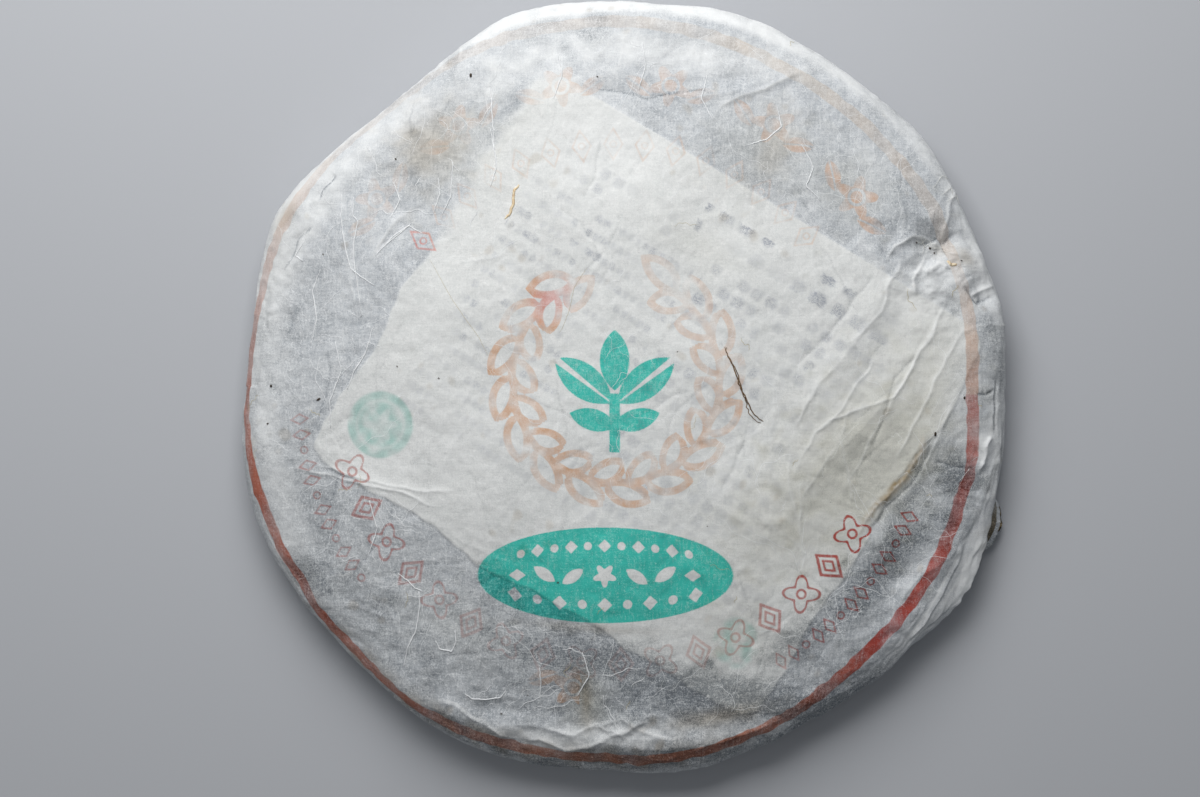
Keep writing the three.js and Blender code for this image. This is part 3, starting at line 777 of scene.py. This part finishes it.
def cotton_paper(name, printed):
    """Cotton paper over pressed leaf: pulp lies in clouds 7 mm across, in streaks 0.6 mm by 4 mm up
    and down it, in laid lines 0.4 mm by 4 mm across it, and in grain of 0.6 mm. Where it is thin
    the leaf greys it. Curled fibres are drawn 0.2 mm thick: real ones, of 0.03 mm, don't show. The
    printed side adds the inner sheet and the inks, which sink in and wear off the raised threads."""
    material = bpy.data.materials.new(name)
    material.use_nodes = True
    tree = material.node_tree
    tree.nodes.clear()
    times, add_share = {"operation": "MULTIPLY"}, {"operation": "MULTIPLY_ADD"}
    smooth = {"interpolation_type": "SMOOTHSTEP"}
    names = fields if printed else ("paper", "tone")
    read = {kept: add(tree, "ShaderNodeAttribute", {}, attribute_name=kept).outputs for kept in names}
    place = read["paper"]["Vector"]  # in millimetres along the paper
    dark, stain, clear = add(tree, "ShaderNodeSeparateXYZ", {0: read["tone"]["Vector"]}).outputs

    upright = {0: place, "Rotation": (0, 0, 0.1), "Scale": (1.0, 0.16, 1)}
    level = {0: place, "Rotation": (0, 0, 0.05), "Scale": (0.14, 1.3, 1)}
    upright, level = (add(tree, "ShaderNodeMapping", way).outputs[0] for way in (upright, level))
    noises = []
    for along, scale, twist in (
        (upright, 1.6, 0.7), (level, 1.9, 0.3), (place, 0.15, 1.0), (place, 1.8, 1.8),
    ):
        noise = {0: along, "Scale": scale, "Distortion": twist, "Detail": 4, "Roughness": 0.6}
        noises.append(add(tree, "ShaderNodeTexNoise", noise).outputs[0])
    streak, laid, cloud, grain = noises

    # Curled fibres run where a twisted noise passes its middle value; a broader one breaks them
    curl = {0: place, "Scale": 0.5, "Detail": 2, "Distortion": 2.6}
    curl = add(tree, "ShaderNodeTexNoise", curl).outputs[0]
    off = add(tree, "ShaderNodeMath", {0: curl, 1: 0.5}, operation="SUBTRACT").outputs[0]
    off = add(tree, "ShaderNodeMath", {0: off}, operation="ABSOLUTE").outputs[0]
    fibres = add(tree, "ShaderNodeMapRange", {0: off, 1: 0.0, 2: 0.022, 3: 1.0, 4: 0.0}, **smooth).outputs[0]
    broken = add(tree, "ShaderNodeMapRange", {0: streak, 1: 0.46, 2: 0.62}).outputs[0]
    fibres = add(tree, "ShaderNodeMath", {0: fibres, 1: broken}, **times).outputs[0]

    threads = 0.0
    for part, share in ((grain, 1.5), (laid, 0.45), (fibres, 0.6)):
        threads = add(tree, "ShaderNodeMath", {0: part, 1: share, 2: threads}, **add_share).outputs[0]
    pulp = threads
    for part, share in ((streak, 0.55), (cloud, 0.5)):
        pulp = add(tree, "ShaderNodeMath", {0: part, 1: share, 2: pulp}, **add_share).outputs[0]
    density = add(tree, "ShaderNodeMapRange", {0: pulp, 1: 1.25, 2: 1.92}).outputs[0]

    base = mixed(tree, density, linear("#aeb3b8"), linear("#e9ebec"))
    if printed:
        under = read["under"]["Vector"]
        sheet, blots, warm = add(tree, "ShaderNodeSeparateXYZ", {0: under}).outputs
        on_sheet = add(tree, "ShaderNodeMapRange", {0: sheet, 1: -0.4, 2: 0.4}, **smooth).outputs[0]
        over_sheet = mixed(tree, density, linear("#d8dad8"), linear("#f1f1ef"))
        speckled = {0: grain, 1: 0.42, 2: 0.6, 3: 0.1, 4: 1.25}
        speckled = add(tree, "ShaderNodeMapRange", speckled).outputs[0]
        blots = add(tree, "ShaderNodeMath", {0: blots, 1: speckled}, **times).outputs[0]
        over_sheet = mixed(tree, blots, over_sheet, linear("#a4a8b0"))
        base = mixed(tree, on_sheet, base, over_sheet)
    # Stains; then paper clear of the leaf, whitened together with the painted highlights of the rim, folds
    # and crease crests
    for layer, share, colour in ((stain, 0.55, "#c9c6b4"), (clear, 0.8, "#f2f3f2")):
        layer = add(tree, "ShaderNodeMath", {0: layer, 1: share}, **times).outputs[0]
        base = mixed(tree, layer, base, linear(colour))

    if printed:
        base = mixed(tree, read["brown"]["Fac"], base, linear("#9d8863"))
        base = mixed(tree, read["seals"]["Fac"], base, linear("#7fd0c3"), "MULTIPLY")
        edges = add(tree, "ShaderNodeSeparateXYZ", {0: read["ink_edges"]["Vector"]}).outputs
        left = add(tree, "ShaderNodeSeparateXYZ", {0: read["ink_left"]["Vector"]}).outputs
        ragged = {0: grain, 1: 0.3, 2: 0.7, 3: -0.14, 4: 0.14}
        ragged = add(tree, "ShaderNodeMapRange", ragged).outputs[0]
        worn = add(tree, "ShaderNodeMapRange", {0: pulp, 1: 1.25, 2: 1.92, 3: 1.2, 4: 0.7}).outputs[0]
        red_ink = mixed(tree, warm, linear("#d3b690"), linear("#b0473d"))
        tan_ink = mixed(tree, read["redder"]["Fac"], linear("#d6a884"), linear("#d4766a"))
        for edge, share, ink, blend in (
            (edges[2], left[2], tan_ink, "MIX"),
            (edges[0], left[0], red_ink, "MIX"),
            (edges[1], left[1], linear("#47dccd"), "MULTIPLY"),
        ):
            bled = add(tree, "ShaderNodeMath", {0: edge, 1: ragged}, operation="ADD").outputs[0]
            inked = add(tree, "ShaderNodeMapRange", {0: bled, 1: -0.14, 2: 0.14}, **smooth).outputs[0]
            inked = add(tree, "ShaderNodeMath", {0: inked, 1: share}, **times).outputs[0]
            inked = add(tree, "ShaderNodeMath", {0: inked, 1: worn}, use_clamp=True, **times).outputs[0]
            base = mixed(tree, inked, base, ink, blend)

    # Dark leaf, and the painted shade laid with it, show least through the raised threads
    patchy = add(tree, "ShaderNodeMapRange", {0: threads, 1: 0.76, 2: 1.26, 3: 1.6, 4: 0.2}).outputs[0]
    dark = add(tree, "ShaderNodeMath", {0: dark, 1: patchy}, use_clamp=True, **times).outputs[0]
    base = mixed(tree, dark, base, linear("#a0a4a8"), "MULTIPLY")

    # Specks of leaf in the pulp, under 0.2 mm, one in some cells of 8 mm
    cells = add(tree, "ShaderNodeTexVoronoi", {0: place, "Scale": 0.13}).outputs
    near = add(tree, "ShaderNodeMath", {0: cells["Distance"], 1: grain}, **times).outputs[0]
    few = add(tree, "ShaderNodeSeparateColor", {0: cells["Color"]}).outputs[0]
    few = add(tree, "ShaderNodeMapRange", {0: few, 1: 0.7, 2: 1.0, 3: 0.0, 4: 0.02}).outputs[0]
    speck = add(tree, "ShaderNodeMath", {0: near, 1: few}, operation="LESS_THAN").outputs[0]
    speck = add(tree, "ShaderNodeMath", {0: speck, 1: 0.8}, **times).outputs[0]
    base = mixed(tree, speck, base, linear("#3c342b"))

    # Thick pulp is pressed a little smoother than thin
    shader = add(tree, "ShaderNodeBsdfPrincipled", {"Base Color": base, "Specular IOR Level": 0.35})
    matt = add(tree, "ShaderNodeMapRange", {0: density, 3: 0.88, 4: 0.72}).outputs[0]
    tree.links.new(matt, shader.inputs["Roughness"])
    relief = {"Height": threads, "Strength": 0.7, "Distance": 0.00013}
    tree.links.new(add(tree, "ShaderNodeBump", relief).outputs[0], shader.inputs["Normal"])
    out = add(tree, "ShaderNodeOutputMaterial", {0: shader.outputs[0]})
    out.is_active_output = True
    return material


# The printed side of the paper. The sheet is one, but it is made in four quarters, because one
# mesh so fine would be too heavy
printed_paper = cotton_paper("printed_cotton_paper", True)
half = FACE_CELLS // 2
for name, rows, columns in (
    ("printed_face_upper_right", slice(half, None), slice(half, None)),
    ("printed_face_upper_left", slice(half, None), slice(0, half + 1)),
    ("printed_face_lower_left", slice(0, half + 1), slice(0, half + 1)),
    ("printed_face_lower_right", slice(0, half + 1), slice(half, None)),
):
    quarter = surface(name, face_points[rows, columns], spin=True, normals=face_normals[rows, columns])
    bake_map(quarter, face_flat[rows, columns])
    for field, values in fields.items():
        keep(quarter, field, values[rows, columns])
    quarter.data.materials.append(printed_paper)
    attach(quarter, "root")
    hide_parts("wrapped_tea_cake")


# The back of the wrapper
# The same paper, gathered into pleats that lie over each other like a fan, flattened by the
# disc's weight, and drawn with a slight swirl into the dimple, where they pucker to a knot.

DIMPLE_RADIUS = 27
DIMPLE_CEILING_RADIUS = 17
DIMPLE_DEPTH = 9
DIMPLE_FOLD_DEPTH = 1.7
KNOT_RADIUS = 8
KNOT_DROP = 1.6
PLEAT_SWIRL = math.radians(24)
PLEAT_PHASES = (  # places of the mesh's columns across a pleat, closest at its edges
    0, 0.02, 0.05, 0.1, 0.16, 0.22, 0.28, 0.33, 0.38, 0.43, 0.48, 0.53,
    0.58, 0.63, 0.68, 0.73, 0.78, 0.83, 0.88, 0.92, 0.95, 0.97, 0.985, 0.997,
)

starts = np.append(PLEAT_STARTS, PLEAT_STARTS[0] + 1)
column = 2 * math.pi * (starts[:-1, None] + np.diff(starts)[:, None] * np.array(PLEAT_PHASES)).ravel()
undercut = np.linspace(FACE_EDGE - 1.6, SECTION["path"][-1], 26)
path, angle = np.meshgrid(undercut, column, indexing="ij")
hidden = -0.5 * (1 - rise(path, FACE_EDGE - 1.6, FACE_EDGE - 0.2))
rim_points, _ = on_wrapper(path, angle, hidden)

# Across the back: the pleats stay in the resting plane out to the undercut, rise over the
# dimple's smooth edge to its ceiling, and drop again to the knot in the middle.
R = outline(column)[None, :]
u = np.linspace(0, 1, 46)[1:, None]
radius = (R - UNDERCUT_RUN) * (1 - u) + DIMPLE_RADIUS * u
swirl = PLEAT_SWIRL * 0.6 * u
w = np.linspace(0, 1, 52)[1:, None]
inner = DIMPLE_RADIUS * (1 - w) + 0 * R
radius = np.concatenate([radius, inner])
swirl = np.concatenate([swirl + 0 * R, PLEAT_SWIRL * (0.6 + 0.4 * w) + 0 * R])
ceiling = rise(DIMPLE_RADIUS - radius, 0, DIMPLE_RADIUS - DIMPLE_CEILING_RADIUS)
height = DIMPLE_DEPTH * ceiling - KNOT_DROP * bump(radius / KNOT_RADIUS)
base_angle = column[None, :] + 0 * radius
recess = pleat_recess(base_angle)
depth = PLEAT_DEPTH + (DIMPLE_FOLD_DEPTH - PLEAT_DEPTH) * ceiling
wrinkle_x, wrinkle_y = base_angle * 34, radius * 0.35
wrinkles = 0.18 + 0.05 * folded(wrinkle_x * 3, wrinkle_y, 7, 91)
wrinkles = wrinkles + 0.07 * ceiling * folded(wrinkle_x * 4, wrinkle_y * 3, 6, 92)
fold = (depth * recess + wrinkles * rise(recess, 0, 0.2)) * rise(radius, 0, DIMPLE_CEILING_RADIUS)
around = base_angle + swirl
back_points = np.stack(
    [radius * np.cos(around) + MIDDLE[0], radius * np.sin(around) + MIDDLE[1], height + fold], -1
) / 1000
points = np.concatenate([rim_points, back_points])
back = surface("pleated_back", points, wrap=True, pole=True)
rim_radius = R - UNDERCUT_RUN + (SECTION["path"][-1] - path)
flat_radius = np.concatenate([rim_radius, radius])
flat_angle = np.concatenate([angle, around])
flat = np.stack([flat_radius * np.cos(flat_angle), flat_radius * np.sin(flat_angle)], -1)
bake_map(back, flat)
# The fibres follow the gathered paper, so the pattern is laid out before the pleats are drawn in
lay = np.stack([flat[..., 0], flat[..., 1] + 300, 0 * flat_radius], -1)
keep(back, "paper", lay)
all_recess = np.concatenate([pleat_recess(angle), recess])
# Painted shade: darker deeper into each pleat's recess, over an even grey and random tone
shade = 0.25 + 0.5 * all_recess + 0.15 * rough(flat[..., 0], flat[..., 1], 16, 93)
layers = 0.35 * rise(75 - flat_radius, 0, 40) + 0.3 * (1 - rise(all_recess, 0, 0.12))
stains = 0.25 + 0.3 * rough(flat[..., 0], flat[..., 1], 22, 94)
tones = np.stack([np.clip(shade, 0, 1) * 0.6, np.clip(stains, 0, 1), np.clip(layers, 0, 1)], -1)
keep(back, "tone", tones)
# The same handmade cotton paper, unprinted: painted shade in the pleats' recesses, and whiter where it lies
# doubled
back.data.materials.append(cotton_paper("plain_cotton_paper", False))
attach(back, "root")
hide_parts("wrapped_tea_cake")


# Fibres and bits of tea on the face
# Long cotton fibres lie curled on the paper and half in it, a few brown ones among them. A
# split tea stem, two bits of husk and dark crumbs of leaf stick to it.

STEPS = 28  # points along a fibre
STREWN = 103  # how far from the middle of the face fibres begin


def centre_lines(draw, count, length, curl):
    """Curly lines scattered over the paper, in its flat coordinates: each heads on round a bend
    and two waves. length is the shortest and the longest."""
    t = np.linspace(0, 1, STEPS)[None, :]
    size = draw.uniform(*length, (count, 1))
    heading = draw.normal(1.45, 0.9, (count, 1)) + draw.normal(0, 0.9, (count, 1)) * t
    for waves in (1.3, 3.1):
        phase = draw.uniform(0, 2 * math.pi, (count, 1))
        sway = curl * draw.uniform(0.2, 1, (count, 1))
        heading = heading + sway * np.sin(2 * math.pi * waves * t + phase)
    far = STREWN * np.sqrt(draw.uniform(0, 1, (count, 1)))
    around = draw.uniform(0, 2 * math.pi, (count, 1))
    step = size / (STEPS - 1)
    x = far * np.cos(around) + np.cumsum(step * np.cos(heading), 1)
    y = far * np.sin(around) + np.cumsum(step * np.sin(heading), 1)
    return np.stack([x, y], -1)


def through(points, wobble=0.12, seed=0):
    """One line through points, with a little wobble, in the paper's flat coordinates."""
    ends = np.asarray(points, float)
    place = np.linspace(0, len(ends) - 1, STEPS)
    line = np.stack([np.interp(place, np.arange(len(ends)), ends[:, k]) for k in (0, 1)], -1)
    return (line + wobble * np.random.default_rng(seed).normal(size=line.shape))[None]


def tubes(name, lines, radius, lift):
    """Thin square tubes along lines on the paper as one mesh object: at each step four corners,
    one radius across and above and below the line, drawn in towards closed ends."""
    count, steps = lines.shape[:2]
    far = np.hypot(lines[..., 0], lines[..., 1])
    around = np.arctan2(lines[..., 1], lines[..., 0])
    middle, _ = on_wrapper(far, around, np.reshape(lift, (-1, 1)))
    ahead = np.gradient(middle, axis=1)
    aside = np.cross(ahead, [0, 0, 1])
    aside /= np.maximum(np.linalg.norm(aside, axis=-1, keepdims=True), 1e-9)
    taper = 0.25 + 0.75 * np.sin(math.pi * np.linspace(0.02, 0.98, steps)) ** 0.5
    size = np.ones((count, steps)) * np.reshape(radius, (-1, 1)) / 1000 * taper
    across = np.array([1, 0, -1, 0])[:, None] * aside[:, :, None, :]
    upwards = np.array([0, 1, 0, -1])[:, None] * np.array([0, 0, 1.0])
    corners = middle[:, :, None, :] + size[:, :, None, None] * (across + upwards)
    index = np.arange(count * steps * 4).reshape(count, steps, 4)
    beside = np.roll(index, -1, axis=2)
    walls = np.stack([index[:, :-1], index[:, 1:], beside[:, 1:], beside[:, :-1]], -1).reshape(-1, 4)
    ends = np.concatenate([index[:, 0], index[:, -1, ::-1]])
    mesh = bpy.data.meshes.new(name)
    mesh.from_pydata(corners.reshape(-1, 3).tolist(), [], walls.tolist() + ends.tolist())
    mesh.update()
    mesh.shade_smooth()
    made = bpy.data.objects.new(name, mesh)
    bpy.context.scene.collection.objects.link(made)
    return made


def clear_of_oval(lines):
    """Which lines keep off the green oval: outside a slightly larger ellipse all along."""
    across, along = lines[..., 0] - OVAL[0][0], (lines[..., 1] - OVAL[0][1]) * 2.6
    return np.hypot(across, along).min(axis=1) > 34


def fibre(name, darker, lighter):
    """Dry plant fibre, as it grew and only dried: matt, streaked from dark to light over 0.7 mm,
    with a rough skin. Its IOR is cellulose's, 1.5, and its gloss is weak."""
    material = bpy.data.materials.new(name)
    material.use_nodes = True
    tree = material.node_tree
    shader = tree.nodes["Principled BSDF"]
    place = add(tree, "ShaderNodeTexCoord", {}).outputs["Object"]
    streaks = add(tree, "ShaderNodeTexNoise", {0: place, "Scale": 1400, "Detail": 3}).outputs[0]
    shares = add(tree, "ShaderNodeMapRange", {0: streaks, 1: 0.35, 2: 0.65}).outputs[0]
    tree.links.new(mixed(tree, shares, linear(darker), linear(lighter)), shader.inputs["Base Color"])
    skin = {"Height": streaks, "Strength": 0.4, "Distance": 0.00005}
    tree.links.new(add(tree, "ShaderNodeBump", skin).outputs[0], shader.inputs["Normal"])
    shader.inputs["Roughness"].default_value = 0.75
    shader.inputs["Specular IOR Level"].default_value = 0.3
    return material


# Long fibres measured from the real face, as lines through points
LONG_FIBRES = (
    ((-58.6, -49.3), (-56.1, -51.3), (-54.1, -53.4), (-52, -54.2)),
    ((-53.2, -54.2), (-52.8, -57.5), (-53.7, -64.1), (-56.1, -69), (-57.1, -73.9)),
    ((-48.3, -66.5), (-47.1, -68.6), (-43.8, -69), (-42.6, -66.5), (-43, -63.7)),
    ((-40.5, -79.7), (-38.5, -81.1), (-34.8, -81.3), (-31.1, -80.7), (-29.8, -78.9)),
    ((-20.8, -72.3), (-20.6, -77.2), (-21, -81.3)),
    ((41, 73), (42.3, 67.8), (38.4, 64.4), (33.2, 62.6)),
    ((-71.5, 50.5), (-70.7, 44.9), (-69.1, 43.3), (-69.5, 37), (-69.1, 28), (-69.1, 18.7)),
    ((-56.4, 43.7), (-58.8, 40.1), (-61.9, 36.2), (-63.5, 33.8)),
    ((-34.1, 79.9), (-34.5, 74.3), (-34.1, 64)),
    ((-50.4, 57.6), (-49.9, 52.9), (-51.2, 47.3)),
    ((-83, 38), (-86, 34.4), (-84, 33)),
    ((-62.6, 35.6), (-59.6, 40), (-56.8, 43), (-53.1, 40.9)),
    ((-74.6, 51.2), (-73.4, 44), (-72.2, 38.6), (-70.4, 30.4), (-64.2, 26.1)),
    ((-35.2, 69.5), (-33.5, 60), (-35.6, 54.7)),
    ((-66.4, 15.5), (-68.5, 9.1), (-71.6, 3.8), (-73, -1)),
    ((-79.2, 30.7), (-82.4, 25.4), (-82, 18), (-84, 11)),
    ((-46.4, 62), (-46.9, 52.4), (-49, 47)),
    ((-77, 12), (-75.2, 4), (-77.4, -4), (-76, -11)),
    ((-62.4, 56), (-60, 50.6), (-61.6, 45)),
    ((-16.8, 88.6), (-15, 81), (-17.2, 74.4)),
    ((5.8, 90.6), (6.6, 84), (4.8, 77.8)),
    ((22.6, 80.8), (21, 74.2), (24, 68.4)),
    ((47.6, 63.2), (50.4, 57), (48.4, 51.8), (52, 47.6)),
    ((-64.8, -29.6), (-63, -37), (-66, -44.6)),
    ((-9.8, -69.4), (-8, -75.6), (-11.2, -81)),
)

draw = np.random.default_rng(2)
fine = np.concatenate([centre_lines(draw, 520, (7, 24), 0.5), centre_lines(draw, 420, (3, 8), 0.9)])
x, y = fine[:, 0].T
shown = (inside_sheet(x, y) < 0) | (draw.uniform(size=len(fine)) < 0.25)  # few on the white sheet
fine = fine[(np.hypot(x, y) < 92) & shown & clear_of_oval(fine)]
coarse = centre_lines(draw, 220, (4, 15), 0.5)
x, y = coarse[:, 0].T
coarse = coarse[clear_of_oval(coarse) & (inside_sheet(x, y) < 0) & (x < 30) & (np.hypot(x, y) < 90)]
long = np.concatenate([through(points, wobble=0.05, seed=n) for n, points in enumerate(LONG_FIBRES)])
radii = np.concatenate([
    draw.uniform(0.025, 0.055, len(fine)),
    draw.uniform(0.06, 0.09, len(coarse)),
    np.full(len(long), 0.17),
])
lifts = np.repeat((0.0, 0.03, 0.07), (len(fine), len(coarse), len(long)))
cotton = tubes("cotton_fibres", np.concatenate([fine, coarse, long]), radii, lifts)
cotton.data.materials.append(fibre("cotton_fibre", "#e8eaeb", "#fafbfb"))

brown_ones = np.concatenate([
    centre_lines(draw, 20, (2, 7), 0.9),
    through(((-49.9, 33), (-43, 22), (-37, 13), (-35, 8)), wobble=0.04, seed=5),
    through(((-8.3, 30.1), (-12, 26), (-14, 20), (-16.1, 14.5)), wobble=0.08, seed=6),
])
hairs = tubes("brown_hairs", brown_ones, draw.uniform(0.04, 0.07, len(brown_ones)), 0.02)
hairs.data.materials.append(fibre("husk_fibre", "#b0a37c", "#c8bd9c"))

# The stem is split along its length, so it lies as two strands that meet at both ends
one = ((27.6, 10.1), (28.3, 7.3), (29.9, 3.4), (30.6, 0.3), (32.2, -3.1), (34.5, -7.5), (37.0, -9.3))
other = ((28.2, 10.2), (27.9, 8.2), (30.1, 3.6), (31.4, -1.5), (32.4, -4.6), (33.6, -7.8), (36.2, -9.6))
stem_lines = np.concatenate([through(one, seed=7), through(other, seed=8)])
stem = tubes("split_tea_stem", stem_lines, (0.17, 0.12), 0.1)
stem.data.materials.append(fibre("tea_stem", "#54402d", "#94795a"))

husk_lines = np.concatenate([
    through(((-27, 54), (-28.6, 52.8), (-29, 49.6), (-30.1, 46.9), (-31.6, 45.9)), wobble=0.08, seed=9),
    through(((86.4, 33.0), (87.6, 32.0), (89.2, 32.2)), wobble=0.02, seed=10),
])
husks = tubes("husks", husk_lines, (0.4, 0.46), 0.02)
husks.data.materials.append(fibre("tea_husk", "#e0c39a", "#f1e4c8"))

# Crumbs of leaf that stuck to the damp paper: short thick tubes, each at its real place
CRUMBS = (
    (-62.3, 62.8), (-40.5, 83.9), (-80.6, -3.6), (-6, 81), (-94.3, 0), (-93.6, -10), (-59.8, 5.2),
    (78.3, 37.8), (82, 36.4), (83.2, 35.2), (90.4, 33.2), (88.3, -3.1), (80.9, -12.4),
)
ways = draw.normal(0, 0.6, (len(CRUMBS), 1, 2))
spots = np.array(CRUMBS)[:, None, :] + np.linspace(-0.5, 0.5, 6)[None, :, None] * ways
crumbs = tubes("leaf_crumbs", spots, draw.uniform(0.16, 0.34, len(CRUMBS)), 0.1)
crumbs.data.materials.append(fibre("leaf_crumb", "#241e19", "#4a3d30"))

# Hairs that stand off the paper's torn place and its rim at the upper right
TORN = (
    ((78, 38.4), (79.5, 37.6), (81, 38.8)), ((80, 36.5), (81.5, 37.4), (83, 36.2)),
    ((82, 38.6), (82.6, 36.6), (84.6, 36.4)), ((79.5, 39), (80.6, 37), (80, 35)),
    ((84, 50), (87.4, 52.4), (87.6, 50.4)), ((85, 48), (89, 50.5), (90, 48.6)),
    ((82, 52), (84.6, 55.4), (86.8, 54.8)),
)
torn = np.concatenate([through(points, wobble=0.06, seed=20 + n) for n, points in enumerate(TORN)])
loose = tubes("torn_hairs", torn, 0.07, 0.35)
loose.data.materials.append(fibre("torn_cotton_fibre", "#dcdcd6", "#f4f4f0"))
for piece in (cotton, hairs, stem, husks, crumbs, loose):
    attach(piece, "root")
    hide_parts("wrapped_tea_cake")


# The floor, lights and camera
# A pale matt floor, one broad soft lamp beyond the top of the print as in a product studio, and
# weak light all round. The camera looks straight down on the face.

FLOOR_HALF, FLOOR_TOP = 1.5, -0.0002
ends = (-FLOOR_HALF, FLOOR_HALF)
floor = surface("floor", np.array([[(x, y, FLOOR_TOP) for x in ends] for y in ends]), spin=True)
# Painted board, rolled on: pale and matt, so that it only catches the cake's soft shadow
floor_paint = bpy.data.materials.new("pale_matt_floor")
floor_paint.use_nodes = True
paint = floor_paint.node_tree.nodes["Principled BSDF"].inputs
paint["Base Color"].default_value = linear("#b9bbbf")
paint["Roughness"].default_value = 0.9
floor.data.materials.append(floor_paint)

for name, place, size, power in (
    ("key", (-0.07, 0.37, 0.39), 0.44, 3.15),
    ("fill", (-0.5, -0.35, 0.7), 0.8, 0.4),
):
    lamp = bpy.data.lights.new(name, "AREA")
    lamp.shape = "SQUARE"
    lamp.size = size
    lamp.energy = power
    lamp_object = bpy.data.objects.new(name, lamp)
    lamp_object.location = place
    lamp_object.rotation_euler = (-Vector(place)).to_track_quat("-Z", "Y").to_euler()
    bpy.context.scene.collection.objects.link(lamp_object)

world = bpy.data.worlds.new("studio")
world.use_nodes = True
sky = world.node_tree.nodes["Background"].inputs
sky["Color"].default_value = linear("#dfe4ea")
sky["Strength"].default_value = 0.2
bpy.context.scene.world = world
bpy.context.scene.view_settings.view_transform = "Standard"

AIM = Vector((-0.00675, -0.0031, 0.008))
lens = bpy.data.cameras.new("camera")
lens.lens = 85
lens.clip_start = 0.01
camera = bpy.data.objects.new("camera", lens)
tilt = math.radians(3)
camera.location = AIM + 0.737 * Vector((math.sin(tilt), 0, math.cos(tilt)))
camera.rotation_euler = (0, tilt, 0)
bpy.context.scene.collection.objects.link(camera)
bpy.context.scene.camera = camera
